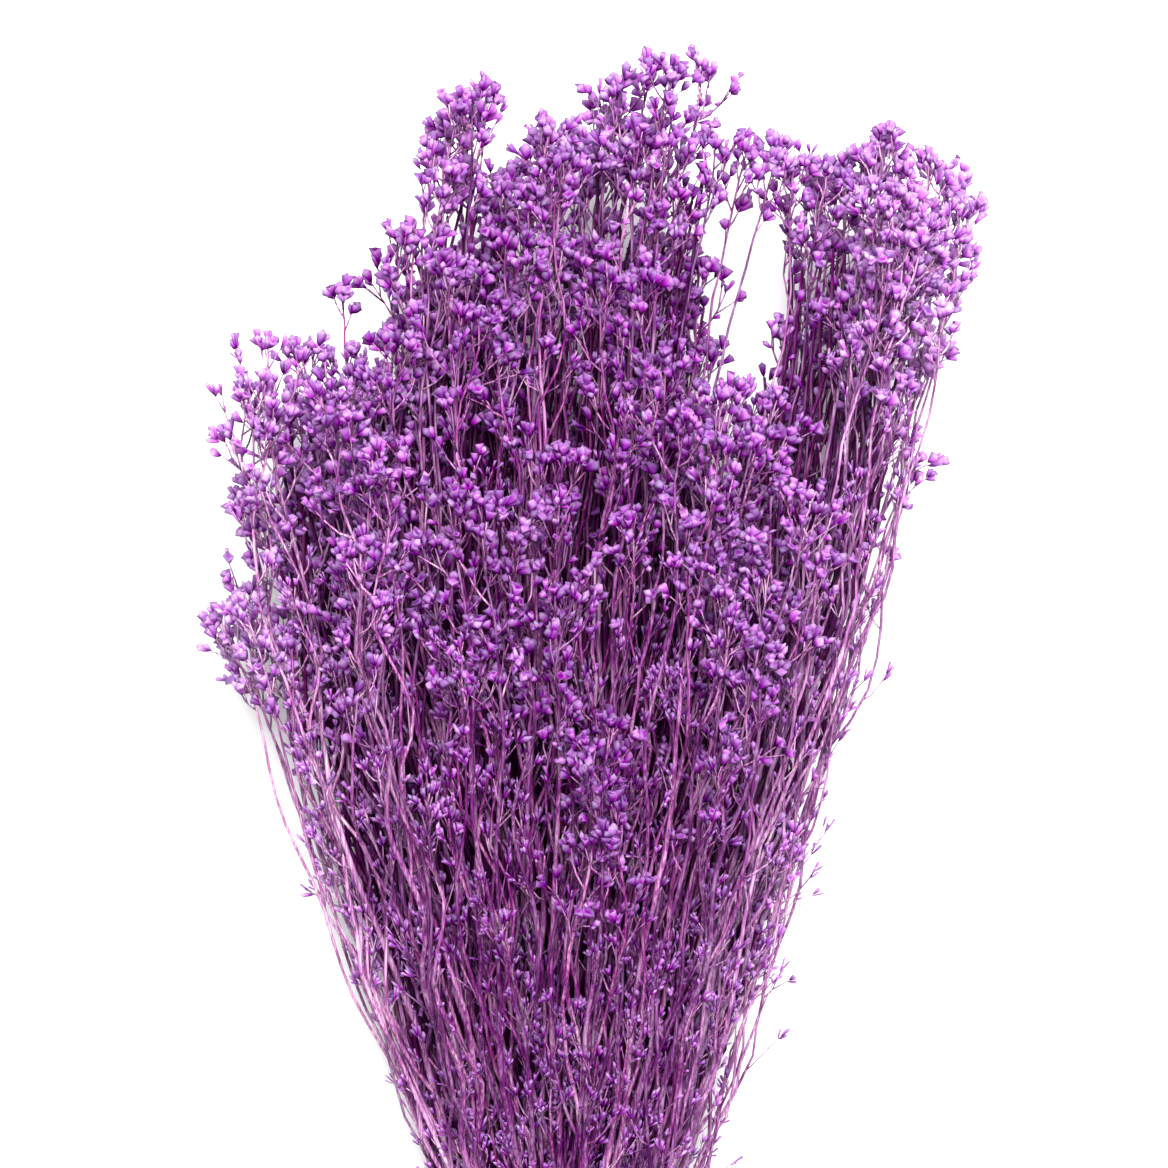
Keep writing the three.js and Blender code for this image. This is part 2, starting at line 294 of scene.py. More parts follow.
def add_thin_shoots(sprays, taken):
    """Adds the thin shoots and the fine sprigs, which the part's source leaves out."""
    between = seeded(THIN_SEED)
    for shoots in sprays:
        for _ in range(THIN["count"]):
            shoots.append(side_shoot("thin", THIN, shoots[0], taken, between))
    for shoots in sprays:
        carriers = [shoot for shoot in shoots if shoot.kind in ("stem", "side", "thin")]
        for k in range(FINE_SPRIG["count"]):
            parent = carriers[k % len(carriers)]
            shoots.append(sprig("fine", FINE_SPRIG, parent, taken, between))


def add_back_shoots(sprays):
    """Adds shoots with few pods to the lower half, so that no light comes through it. They are
    coloured dark as painted shade.
    """
    between = seeded(BACK_SEED)
    for _ in range(BACK["count"]):
        v = between(BACK["v"])
        place = (between((-1, 1)) * BACK["u"] * math.sqrt(1 - v * v), v)
        root = between(BACK["root"])
        tip = tip_height(place) - between(BACK["shorter"])
        shoot = Shoot(place, root, tip, 0, BACK["radius"], reach=BACK["reach"], kind="back")
        add_near(sprays, shoot)


def add_placed_shoots(sprays):
    """Adds the tufts and the bowed shoots that are listed one by one."""
    middle = fan_points(0, 0, CROWN_LEVEL)[0]
    half_width = fan_points(1, 0, CROWN_LEVEL)[0] - middle
    for kind, rows in (("tuft", TUFTS), ("edge", EDGES)):
        for across, v, tip, plume, bow in rows:
            place = ((across - middle) / half_width, v)
            root = EDGE_ROOT if kind == "edge" else tip - TUFT_LENGTH
            add_near(sprays, Shoot(place, root, tip, plume, kind=kind, bow=bow, **PLACED))


def add_near(sprays, shoot):
    """Adds a shoot to the spray whose stem is nearest."""
    shoots = min(sprays, key=lambda shoots: math.dist(shoots[0].place, shoot.place))
    shoot.parent = shoots[0]
    shoots.append(shoot)


def near_parent(shoot, heights):
    """How much a shoot still follows its parent at each height: 1 at its root, 0 past its reach."""
    left = 1 - np.clip((heights - shoot.root) / shoot.reach, 0, 1)
    return (left * left)[:, None]


def places_at(shoot, heights):
    """A shoot's places (u, v): it swings out from its parent's line to its own."""
    own = np.tile(shoot.place, (len(heights), 1))
    if shoot.parent is None:
        return own
    return lerp(own, places_at(shoot.parent, heights), near_parent(shoot, heights))


# The lines of the shoots. Each kind strays this far from its line of the fan in bends, and about
# this far at each of its rings.

STRAY = dict(stem=3.2, side=5, thin=7, back=6, tuft=2.2, edge=2.4, sprig=1.8, fine=1.6)
KINK = dict(stem=0.2, side=0.36, thin=0.6, back=0.6, tuft=0.4, edge=0.5, sprig=0.35, fine=0.35)
STRAY_AXES = ((0, 1), (2, 0.7))     # across and up, with how freely a shoot bends that way
STRAY_SHARE = (0.35, 1)             # of its kind's bends, one draw for each shoot
STRAY_WAVE = (55, 160)              # length of a bend
STRAY_FROM = (6, 150)               # from the tie, where bends begin and where they are full
KINK_SOONER = 4                     # how many times faster kinks grow from there

RINGS_APART = dict(stem=8, side=9, thin=11, back=36, tuft=10, edge=10, sprig=5, fine=6)
FEWEST_RINGS = 5

LEAST_HEIGHT = 0.05                 # of any vertex above the surface
LIFT_SOFTNESS = 1.2                 # of the blend between lifted points and those left alone
LIFT_REACH = 3 * LIFT_SOFTNESS      # points further above the margin are left alone
LIFT_DIP = 0.18 * LIFT_SOFTNESS     # how much lower the blend is at the margin
LIFT_DIP_WIDTH = 2


def smooth_step(value, start, end):
    t = np.clip((value - start) / (end - start), 0, 1)
    return t * t * (3 - 2 * t)


def unit(vectors):
    return vectors / np.linalg.norm(vectors, axis=-1, keepdims=True)


def off_floor(points, margin):
    """Lifts points that would be under the surface, or nearer than margin to it, softly."""
    over = points[..., 2] - margin
    lifted = margin + (over + np.hypot(over, LIFT_SOFTNESS)) / 2
    lifted -= LIFT_DIP * np.exp(-(over / LIFT_DIP_WIDTH) ** 2)
    points[..., 2] = np.where(over > LIFT_REACH, points[..., 2], np.maximum(lifted, margin))
    return points


def ring_heights(shoot):
    """The heights at which a shoot has a ring of vertices."""
    count = int((shoot.tip - shoot.root) / RINGS_APART[shoot.kind]) + 1
    return np.linspace(shoot.root, shoot.tip, max(FEWEST_RINGS, count))


class Strays:
    """How each shoot departs from its line of the fan, by bends and by a kink at each ring."""

    def __init__(self, rng):
        self.rng = rng
        self.known = {}

    def draw(self, shoot):
        rings = ring_heights(shoot)
        kinks = self.rng.normal(0, KINK[shoot.kind], (2, len(rings)))
        waves = self.rng.uniform(*STRAY_WAVE, 2)
        phases = self.rng.uniform(0, FULL_TURN, 2)
        return rings, kinks, waves, phases, self.rng.uniform(*STRAY_SHARE)

    def of(self, shoot, heights):
        if shoot not in self.known:
            self.known[shoot] = self.draw(shoot)
        rings, kinks, waves, phases, share = self.known[shoot]
        freedom = smooth_step(np.abs(heights), *STRAY_FROM)
        kinked = np.minimum(1, KINK_SOONER * freedom)
        own = np.zeros((len(heights), 3))
        for (axis, freely), kink, wave, phase in zip(STRAY_AXES, kinks, waves, phases):
            width = STRAY[shoot.kind] * freely * share
            bend = width * np.sin(FULL_TURN * heights / wave + phase)
            own[:, axis] = freedom * bend + kinked * np.interp(heights, rings, kink)
        risen = (heights - shoot.root) / (shoot.tip - shoot.root)
        own[:, 0] += shoot.bow * np.sin(math.pi * risen)
        if shoot.parent is None:
            return own
        return lerp(own, self.of(shoot.parent, heights), near_parent(shoot, heights))


def line_of(shoot, heights, strays):
    """Points on a shoot's middle line."""
    heights = np.asarray(heights, float)
    u, v = places_at(shoot, heights).T
    return off_floor(fan_points(u, v, heights) + strays.of(shoot, heights), shoot.radius)


def point_and_way(shoot, height, strays, step=3):
    """The point at a height on a shoot's middle line, and the direction up from there."""
    here, ahead = line_of(shoot, [height, height + step], strays)
    return here, unit(ahead - here)


def outwards(along, angle):
    """The direction at this angle round another one."""
    across = unit(np.cross(along, (0.0, 0.0, 1.0)))
    return math.cos(angle) * across + math.sin(angle) * np.cross(across, along)


def bent_line(start, along, out, length, leaving, ending, count):
    """Points on a line that leaves a carrier at one angle and ends at another, in degrees."""
    first = math.cos(math.radians(leaving)) * along + math.sin(math.radians(leaving)) * out
    last = math.cos(math.radians(ending)) * along + math.sin(math.radians(ending)) * out
    t = np.linspace(0, 1, count)[:, None]
    return start + length * (first * (t - t * t / 2) + last * t * t / 2)


# Growing

LIMB_SIDES = dict(stem=6, side=5, thin=4, back=3, tuft=4, edge=4, sprig=3, fine=3)
TAPER = 1.8                 # above 1, a shoot keeps its thickness for longer
TIP_RADIUS = 0.34
BACK_TIP_RADIUS = 0.7
UNEVEN = (0.88, 1.12)       # a shoot's radius varies from ring to ring
FOOT_SWELL = 0.35           # how much thicker a shoot is where it leaves its carrier
FOOT_SHORT = 18             # the swelling's length is one over this of the shoot's
TIP_PODS = 3
PALER = dict(stem=0.15, side=0.1, thin=-0.1)     # how much paler a shoot is than its pods
BACK_PAINTED_SHADE = -0.66           # painted shade of the shoots behind, darker than any other

# How far apart the twigs of a plume are on each kind of shoot, and how long
TWIG_PITCH = dict(stem=8.2, side=8.2, thin=8.4, tuft=5.4, edge=9, sprig=6.2, fine=5.4)
TWIG_LENGTH = dict(
    stem=(17, 31), side=(15, 27), thin=(11, 20), tuft=(10, 18), edge=(6, 12),
    sprig=(7, 12), fine=(5, 10),
)
TWIG_RADIUS = 0.48
TWIG_SIDES = 3
THINNER = 0.8               # what is left of that on a lesser shoot, and again without forks
TWIG_TAPER = 0.6            # and at a twig's end
TWIG_KINK = 0.02            # share of its length
TWIG_MARGIN = 1.0           # above the surface
TWIG_PALER = 0.45           # how much paler than its pods
LEAVING = (34, 62)          # degrees from its carrier where a twig leaves
ENDING = (3, 18)            # and where it ends
TWIG_POINTS = 4
FORK_LEAVING = (24, 46)     # the same for forks, and for twigs that have none
FORK_POINTS = 2
FORK_PLACE = (0.35, 0.85)   # share of the twig's length
FORK_LENGTH = (0.35, 0.6)
BEYOND = np.array([9, 20, 6]) * MM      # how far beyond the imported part's box a twig may end
OUTERMOST = (np.array(cad_box[0]) - BEYOND, np.array(cad_box[1]) + BEYOND)

# A plume's twigs begin this far below the tip and go on this far beyond its length. They stand
# closer in its crown, grow longer downwards from the shortest, and grow shorter again from its
# middle to its foot. Those that are long enough have forks.
PLUME = dict(
    first=(2, 4), foot=8, crown=18, crown_pitch=0.6, pitch=(0.7, 1.3), turn=0.3, shortest=3,
    longer=1.05, length=(0.75, 1.05), middle=0.5, foot_shorter=0.45, forked_from=7,
)
LOWEST_PLUME = 222          # the plume of a shoot that rises above this reaches no lower
SHORTEST_PLUME = 12         # unless it would then be shorter than this
MORE_BELOW = 0.45           # how much longer plumes are on the lower face

# The twigs below it, and how far apart they are on each kind of shoot
BARE = dict(below=10, above_root=20, lowest=60, length=(6, 18), forks=(0, 2), pitch=(0.5, 1.5))
BARE_PITCH = dict(stem=20, side=28, thin=44, edge=30)

# The pods, and the single ones along a twig
POD_LENGTH = (3.4, 6.7)
POD_WIDTH = (1.8, 4.8)
OPENNESS_POWER = 1.25       # above 1, more pods are closed than open
FIRST_LEAN = (0.05, 0.3)    # how far the first pod at a twig's end leans from it
POD_LEAN = (0.15, 0.65)     # and the others
POD_TURN = 2.4              # from one to the next, round the twig
POD_BELOW = 1.6             # the most that the others sit below its end
SINGLE = dict(pitch=6.6, count=(0.6, 1.3), size=0.92, off=0.2, lean=0.8)
BACK_PODS = dict(count=4, below=(3, 100), size=1.15, off=0.5)

# What the twigs on each kind of shoot bear: how plump and long the pods are, how many forks a
# twig has and how many pods stand at its end, and the outer share of it that bears single pods.
# Forks and pods are fewer than the second number.
LOOKS = dict(
    stem=dict(plump=1, forks=(1, 4), cluster=(2, 5), outer=0.55),
    side=dict(plump=1, forks=(1, 4), cluster=(2, 5), outer=0.55),
    thin=dict(plump=0.95, forks=(1, 3), cluster=(2, 4), outer=0.45),
    tuft=dict(plump=1, forks=(1, 3), cluster=(2, 5), outer=0.5),
    edge=dict(plump=0.8, forks=(0, 2), cluster=(1, 3), outer=0.3),
    sprig=dict(plump=0.48, pod_length=0.95, forks=(0, 3), cluster=(2, 5), outer=0.25),
    fine=dict(plump=0.38, pod_length=0.95, forks=(0, 2), cluster=(2, 5), outer=0.15),
    back=dict(plump=0.9),
)
BARE_LOOK = dict(plump=0.36, pod_length=0.95, cluster=(2, 5), outer=0.15)


class Growth:
    """What one spray is made of: limbs, which are lines with radii, and pods."""

    def __init__(self):
        self.limbs = {}
        self.pods = []

    def limb(self, points, radii, sides, tone):
        self.limbs.setdefault((len(points), sides), []).append((points, radii, tone))

    def pod(self, base, axis, length, width, openness, tone, fade_and_painted_shading):
        self.pods.append((*base, *axis, length, width, openness, tone, fade_and_painted_shading))


def bear_pods(growth, point, along, count, size, look, rng):
    """A few pods at the end of a twig."""
    turn = rng.uniform(0, FULL_TURN)
    for k in range(count):
        lean = rng.uniform(*(POD_LEAN if k else FIRST_LEAN))
        axis = unit(along + lean * outwards(along, turn + k * POD_TURN))
        base = point - along * rng.uniform(0, POD_BELOW) * (k > 0)
        length = rng.uniform(*POD_LENGTH) * size * look.get("pod_length", 1)
        width = rng.uniform(*POD_WIDTH) * size * look["plump"]
        openness = rng.random() ** OPENNESS_POWER
        growth.pod(base, axis, length, width, openness, rng.random(), look["fade_and_painted_shading"])


def is_outside(point):
    """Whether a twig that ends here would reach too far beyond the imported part's box."""
    placed = point * MM + TIE_PLACE
    return bool(np.any(placed > OUTERMOST[1]) or np.any(placed < OUTERMOST[0]))


def grow_twig(growth, start, along, angle, length, look, rng, forks):
    """A twig with its forks and pods. Pods stand along its outer part and at its end."""
    out = outwards(along, angle)
    leaving = rng.uniform(*(LEAVING if forks else FORK_LEAVING))
    count = TWIG_POINTS if forks else FORK_POINTS
    points = bent_line(start, along, out, length, leaving, rng.uniform(*ENDING), count)
    points[1:] += rng.normal(0, TWIG_KINK * length, (count - 1, 3))
    off_floor(points, TWIG_MARGIN)
    if is_outside(points[-1]):
        return
    radius = look["radius"] * (1 if forks else THINNER)
    tone = (rng.random(), look["fade_and_painted_shading"] + TWIG_PALER, False)
    growth.limb(points, np.linspace(radius, TWIG_TAPER * radius, count), TWIG_SIDES, tone)
    steps = np.diff(points, axis=0)
    ways = unit(steps)

    def point_at(steps_along):
        here = int(steps_along)
        return points[here] + steps[here] * (steps_along - here), ways[here]

    for _ in range(forks):
        fork_start, way = point_at(rng.uniform(*FORK_PLACE) * len(steps))
        fork_length = rng.uniform(*FORK_LENGTH) * length
        grow_twig(growth, fork_start, way, rng.uniform(0, FULL_TURN), fork_length, look, rng, 0)
    singles = int(length * look["outer"] / SINGLE["pitch"] * rng.uniform(*SINGLE["count"]))
    for _ in range(singles):
        place, way = point_at((1 - rng.uniform(0, look["outer"])) * len(steps) - 1e-6)
        side = outwards(way, rng.uniform(0, FULL_TURN))
        pod_way = unit(way + SINGLE["lean"] * side)
        bear_pods(growth, place + SINGLE["off"] * side, pod_way, 1, SINGLE["size"], look, rng)
    bear_pods(growth, points[-1], ways[-1], int(rng.integers(*look["cluster"])), 1, look, rng)


def grow_shoot(growth, shoot, strays, rng, fade_and_painted_shading):
    """A shoot with its twigs and pods. The fade that it is given is how pale the dye is, with painted
    light and shade added to it.
    """
    kind = shoot.kind
    is_back = kind == "back"
    thick = kind in ("stem", "side", "tuft")
    look = dict(LOOKS[kind], radius=TWIG_RADIUS * (1 if thick else THINNER), fade_and_painted_shading=fade_and_painted_shading)
    heights = ring_heights(shoot)
    share = (heights - shoot.root) / (shoot.tip - shoot.root)
    tip_radius = BACK_TIP_RADIUS if is_back else TIP_RADIUS
    radii = lerp(shoot.radius, tip_radius, share ** TAPER) * rng.uniform(*UNEVEN, len(heights))
    if shoot.parent is not None:
        radii *= 1 + FOOT_SWELL * np.exp(-share * FOOT_SHORT)
    # The shoots behind are darkened as painted shade, in place of the dye's fade.
    own_fade_and_painted_shading = BACK_PAINTED_SHADE if is_back else fade_and_painted_shading + PALER.get(kind, 0)
    tone = (rng.random(), own_fade_and_painted_shading, kind == "stem")
    growth.limb(line_of(shoot, heights, strays), radii, LIMB_SIDES[kind], tone)
    before, end = line_of(shoot, [shoot.tip - 1, shoot.tip], strays)
    bear_pods(growth, end, unit(end - before), 1 if is_back else TIP_PODS, 1, look, rng)
    if kind in TWIG_PITCH:
        grow_plume(growth, shoot, strays, look, rng)
    if kind in BARE_PITCH:
        grow_bare_twigs(growth, shoot, strays, look, rng)
    if is_back:
        grow_back_pods(growth, shoot, strays, look, rng)


def plume_of(shoot):
    """A plume's length: more in the lower half, but not into the bare stems below."""
    if shoot.tip <= LOWEST_PLUME:
        return shoot.plume
    plume = shoot.plume * (1 + MORE_BELOW * max(0, -shoot.place[1]))
    return min(plume, max(SHORTEST_PLUME, shoot.tip - LOWEST_PLUME))


def grow_plume(growth, shoot, strays, look, rng):
    """The twigs below the tip reach up to it, so that a plume ends in a broad, dense crown."""
    kind = shoot.kind
    plume = plume_of(shoot)
    foot = plume + PLUME["foot"]
    turn = rng.uniform(0, FULL_TURN)
    below = rng.uniform(*PLUME["first"])
    while below < foot:
        start, way = point_and_way(shoot, shoot.tip - below, strays)
        length = min(below * PLUME["longer"] + PLUME["shortest"], rng.uniform(*TWIG_LENGTH[kind]))
        length *= rng.uniform(*PLUME["length"])
        length *= 1 - PLUME["foot_shorter"] * smooth_step(below, PLUME["middle"] * plume, foot)
        forks = int(rng.integers(*look["forks"])) if length > PLUME["forked_from"] else 0
        grow_twig(growth, start, way, turn, length, look, rng, forks)
        turn += GOLDEN_ANGLE + rng.normal(0, PLUME["turn"])
        closer = PLUME["crown_pitch"] if below < PLUME["crown"] else 1
        below += TWIG_PITCH[kind] * rng.uniform(*PLUME["pitch"]) * closer


def grow_bare_twigs(growth, shoot, strays, look, rng):
    """Small twigs with narrow pods, far apart on the stem below the plume."""
    look = {**look, **BARE_LOOK}
    height = shoot.tip - plume_of(shoot) - BARE["below"]
    while height > max(shoot.root + BARE["above_root"], BARE["lowest"]):
        start, way = point_and_way(shoot, height, strays)
        angle = rng.uniform(0, FULL_TURN)
        forks = int(rng.integers(*BARE["forks"]))
        grow_twig(growth, start, way, angle, rng.uniform(*BARE["length"]), look, rng, forks)
        height -= BARE_PITCH[shoot.kind] * rng.uniform(*BARE["pitch"])


def grow_back_pods(growth, shoot, strays, look, rng):
    """A few large pods on a shoot that is seen only between the others."""
    for below in rng.uniform(*BACK_PODS["below"], BACK_PODS["count"]):
        start, way = point_and_way(shoot, shoot.tip - below, strays)
        side = outwards(way, rng.uniform(0, FULL_TURN))
        start = start + BACK_PODS["off"] * side
        bear_pods(growth, start, unit(way + side), 1, BACK_PODS["size"], look, rng)


# Meshes. A tint is (share from base to tip, random tone, fade of the dye with painted light and shade
# added, 0 inside a cut end or else 1).
# A pod gapes the more, the larger its openness is: its rings rise round its tip to a cup.

POD_SIDES = 4
POD_RINGS = np.array([[0.26, 0.66], [0.66, 1.0]])       # share of its length and of its radius
CUP_RINGS = np.array([[0.38, 0.5], [0.98, 1.06]])       # the same where it gapes
POD_TIP = (1.0, 0.74)       # share of its length, closed and gaping
POD_TINTS = (0, 0.42, 0.85, 1)      # of its base, its rings and its tip; the dark base is partly painted shade
CUP_PAINTED_SHADE_TINT = 0.15             # of the tip where it gapes: darkened as painted shade in the cup's hollow
POD_FLATNESS = (0.35, 0.8)
CUP_LOBES = 0.3
POD_MARGINS = (0.5, 0.9)    # of its base and tip above the surface
UPRIGHT = 0.75              # limbs whose direction has more of z than this are framed from x
FOOT_CAP = 0.06             # how far the middle of a limb's foot stands out, in radii


def ring_faces(rings, sides):
    """Triangles between rings of vertices, with a point at each end: vertex 0 and the last."""
    faces = []
    last = rings * sides + 1
    top = 1 + (rings - 1) * sides
    for j in range(sides):
        n = (j + 1) % sides
        faces.append((0, 1 + n, 1 + j))
        for k in range(rings - 1):
            a = 1 + k * sides + j
            b = 1 + k * sides + n
            faces += [(a, b, b + sides), (a, b + sides, a + sides)]
        faces.append((top + j, top + n, last))
    return np.array(faces)


def joined(start, body, end, tint):
    """Closed surfaces through rings of vertices, as (vertices, faces, tint)."""
    n, rings, sides, _ = body.shape
    vertices = np.concatenate([start, body.reshape(n, -1, 3), end], 1)
    vertices[..., 2] = np.maximum(vertices[..., 2], LEAST_HEIGHT)
    first = (np.arange(n) * vertices.shape[1])[:, None, None]
    faces = (ring_faces(rings, sides)[None] + first).reshape(-1, 3)
    return vertices.reshape(-1, 3), faces, tint.reshape(-1, 4)


def pods_mesh(pods, rng):
    """All pods of a spray. They gape and are lobed as their openness says."""
    pods = np.array(pods)
    n = len(pods)
    base = pods[:, 0:3]
    axis = unit(pods[:, 3:6])
    length, width, openness, tone, fade_and_painted_shading = pods[:, 6:].T
    tip = off_floor(base + axis * length[:, None], POD_MARGINS[1])
    base = off_floor(base.copy(), POD_MARGINS[0])
    axis = unit(tip - base)
    turn = rng.uniform(0, FULL_TURN, n)
    across = unit(np.cross(axis, rng.normal(size=(n, 3))))
    over = np.cross(axis, across)
    flat = rng.uniform(*POD_FLATNESS, n)
    rings = lerp(POD_RINGS[None], CUP_RINGS[None], openness[:, None, None])
    angles = FULL_TURN * np.arange(POD_SIDES) / POD_SIDES + turn[:, None]
    lobes = 1 + CUP_LOBES * rng.uniform(-1, 1, (n, POD_SIDES)) * openness[:, None]
    body = np.empty((n, 2, POD_SIDES, 3))
    for k in range(2):
        radius = (width / 2 * rings[:, k, 1])[:, None] * (lobes if k else 1)
        along = (length * rings[:, k, 0])[:, None] * (lerp(1, lobes, 0.5) if k else 1)
        x = radius * np.cos(angles)
        y = radius * np.sin(angles) * flat[:, None]
        body[:, k] = (base[:, None] + axis[:, None] * along[..., None]
                      + across[:, None] * x[..., None] + over[:, None] * y[..., None])
    end = base + axis * (length * lerp(*POD_TIP, openness))[:, None]
    tint = np.ones((n, 2 * POD_SIDES + 2, 4))
    tint[..., 0] = np.repeat(POD_TINTS, (1, POD_SIDES, POD_SIDES, 1))
    # The gaping cup's middle is darkened as painted shade in its hollow.
    tint[:, -1, 0] = lerp(1, CUP_PAINTED_SHADE_TINT, openness)
    tint[..., 1] = tone[:, None]
    tint[..., 2] = fade_and_painted_shading[:, None]
    return joined(base[:, None], body, end[:, None], tint)


def limbs_mesh(limbs, sides):
    """Tubes along lines of equally many points, closed by a point at each end."""
    points, radii, tones = (np.array(column) for column in zip(*limbs))
    n, count, _ = points.shape
    ahead = unit(np.gradient(points, axis=1))
    way = unit(points[:, -1] - points[:, 0])
    aside = np.where(np.abs(way[:, 2:3]) < UPRIGHT, (0.0, 0.0, 1.0), (1.0, 0.0, 0.0))
    across = unit(np.cross(ahead, aside[:, None]))
    over = np.cross(across, ahead)
    angles = (FULL_TURN * np.arange(sides) / sides)[:, None]
    ring = across[:, :, None] * np.cos(angles) + over[:, :, None] * np.sin(angles)
    body = points[:, :, None] + ring * radii[..., None, None]
    start = points[:, :1] - ahead[:, :1] * radii[:, :1, None] * FOOT_CAP
    end = points[:, -1:] + ahead[:, -1:] * radii[:, -1:, None]
    tint = np.ones((n, count * sides + 2, 4))
    tint[..., 0] = np.concatenate([[0], np.repeat(np.linspace(0, 1, count), sides), [1]])
    tint[..., 1:3] = tones[:, None, :2]
    tint[:, 0, 3] = 1 - tones[:, 2]
    return joined(start, body, end, tint)


def make_piece(name, parts, materials):
    """One object from (vertices, faces, tint, material index) parts, in the row's frame."""
    part_vertices, part_faces, part_tints, part_slots = zip(*parts)
    starts = np.cumsum([0] + [len(some) for some in part_vertices])
    vertices = np.concatenate(part_vertices) * MM + TIE_PLACE
    faces = np.concatenate([some + start for some, start in zip(part_faces, starts)])
    tint = np.concatenate(part_tints)
    slots = np.repeat(part_slots, [len(some) for some in part_faces])
    mesh = bpy.data.meshes.new(name)
    mesh.vertices.add(len(vertices))
    mesh.vertices.foreach_set("co", vertices.astype(np.float32).ravel())
    mesh.loops.add(faces.size)
    mesh.loops.foreach_set("vertex_index", faces.astype(np.int32).ravel())
    mesh.polygons.add(len(faces))
    mesh.polygons.foreach_set("loop_start", np.arange(0, faces.size, 3, dtype=np.int32))
    mesh.polygons.foreach_set("material_index", slots.astype(np.int32))
    mesh.polygons.foreach_set("use_smooth", np.ones(len(faces), bool))
    for material in materials:
        mesh.materials.append(material)
    mesh.update(calc_edges=True)
    layer = mesh.attributes.new("tint", "FLOAT_COLOR", "POINT")
    layer.data.foreach_set("color", tint.astype(np.float32).ravel())
    piece = bpy.data.objects.new(name, mesh)
    bpy.context.scene.collection.objects.link(piece)
    return piece


# Materials

class Nodes:
    """A material's nodes, added one by one."""

    def __init__(self, name):
        self.material = bpy.data.materials.new(name)
        self.material.use_nodes = True
        self.tree = self.material.node_tree
        self.shader = self.tree.nodes["Principled BSDF"]

    def set(self, node, inputs):
        """Gives each input its value, or a link where the value is another node's output."""
        for key, value in inputs.items():
            if isinstance(value, bpy.types.NodeSocket):
                self.tree.links.new(value, node.inputs[key])
            else:
                node.inputs[key].default_value = value

    def add(self, kind, inputs=(), **settings):
        node = self.tree.nodes.new("ShaderNode" + kind)
        for key, value in settings.items():
            setattr(node, key, value)
        self.set(node, dict(inputs))
        return node.outputs

    def tint(self):
        """The mesh's tint: its colour's three channels and its alpha."""
        attribute = self.add("Attribute", attribute_name="tint")
        split = self.add("SeparateColor", {"Color": attribute["Color"]})
        return split[0], split[1], split[2], attribute["Alpha"]

    def ramp(self, value, stops):
        node = self.tree.nodes.new("ShaderNodeValToRGB")
        self.tree.links.new(value, node.inputs[0])
        elements = node.color_ramp.elements
        while len(elements) < len(stops):
            elements.new(0.5)
        for element, (at, colour) in zip(elements, stops):
            element.position = at
            element.color = (*colour, 1)
        return node.outputs[0]

    def noise(self, scale, stretch=(1, 1, 1), detail=3, roughness=0.55):
        place = self.add("TexCoord")["Object"]
        inputs = {"Scale": scale, "Detail": detail, "Roughness": roughness}
        inputs["Vector"] = self.add("Mapping", {"Vector": place, "Scale": stretch})[0]
        return self.add("TexNoise", inputs)[0]

    def math(self, operation, a, b):
        return self.add("Math", {0: a, 1: b}, operation=operation)[0]

    def line(self, value, slope, offset):
        """slope * value + offset"""
        return self.math("ADD", self.math("MULTIPLY", value, slope), offset)

    def stirred(self, value, noise, amount):
        """A value with a noise's ups and downs added to it."""
        ups = self.math("MULTIPLY", self.math("SUBTRACT", noise, 0.5), amount)
        return self.math("ADD", value, ups)

    def shifted(self, colour, value, hue=0.5, saturation=1):
        """A colour with its value, hue and saturation shifted."""
        inputs = {"Color": colour, "Hue": hue, "Saturation": saturation, "Value": value}
        return self.add("HueSaturation", inputs)[0]

    def mixed(self, share, first, second):
        """A mix of two colours, through the sockets that the node has for colours."""
        return self.add("Mix", {0: share, 6: first, 7: second}, data_type="RGBA")[2]

    def bump(self, height, distance, strength):
        inputs = {"Height": height, "Distance": distance, "Strength": strength}
        return self.add("Bump", inputs)[0]


def pod_material():
    """Near black at the base, pale at the rim, and mottled. The darker base and paler rim are the
    pods' own, and the near-black base is also painted shade inside the clusters.
    """
    m = Nodes("dyed_pod")
    along, tone, fade_and_painted_shading, _ = m.tint()
    mottle = m.noise(700)
    # The ramp's near-black base stands in part for painted shade where pods sit inside their
    # clusters.
    colour = m.ramp(m.stirred(along, mottle, 0.5), [
        (0.0, (0.065, 0.001, 0.085)), (0.3, (0.155, 0.014, 0.20)), (0.58, (0.255, 0.064, 0.315)),
        (0.82, (0.355, 0.176, 0.42)), (1.0, (0.48, 0.345, 0.545)),
    ])
    # Its value and saturation follow the fade: the dye's paleness, with painted light at the sides
    # and tips and painted shade on the pods behind.
    colour = m.shifted(
        colour,
        hue=m.line(tone, 0.035, 0.4795),
        saturation=m.line(fade_and_painted_shading, -0.22, 1.17),
        value=m.math("MULTIPLY", m.line(fade_and_painted_shading, 0.56, 0.65), m.line(tone, 0.5, 0.75)),
    )
    m.set(m.shader, {
        "Base Color": colour,
        "Roughness": m.line(mottle, 0.25, 0.5),
        "Normal": m.bump(m.noise(2600, detail=2), 0.0002, 0.6),
        "Specular IOR Level": 0.06,
    })
    return m.material


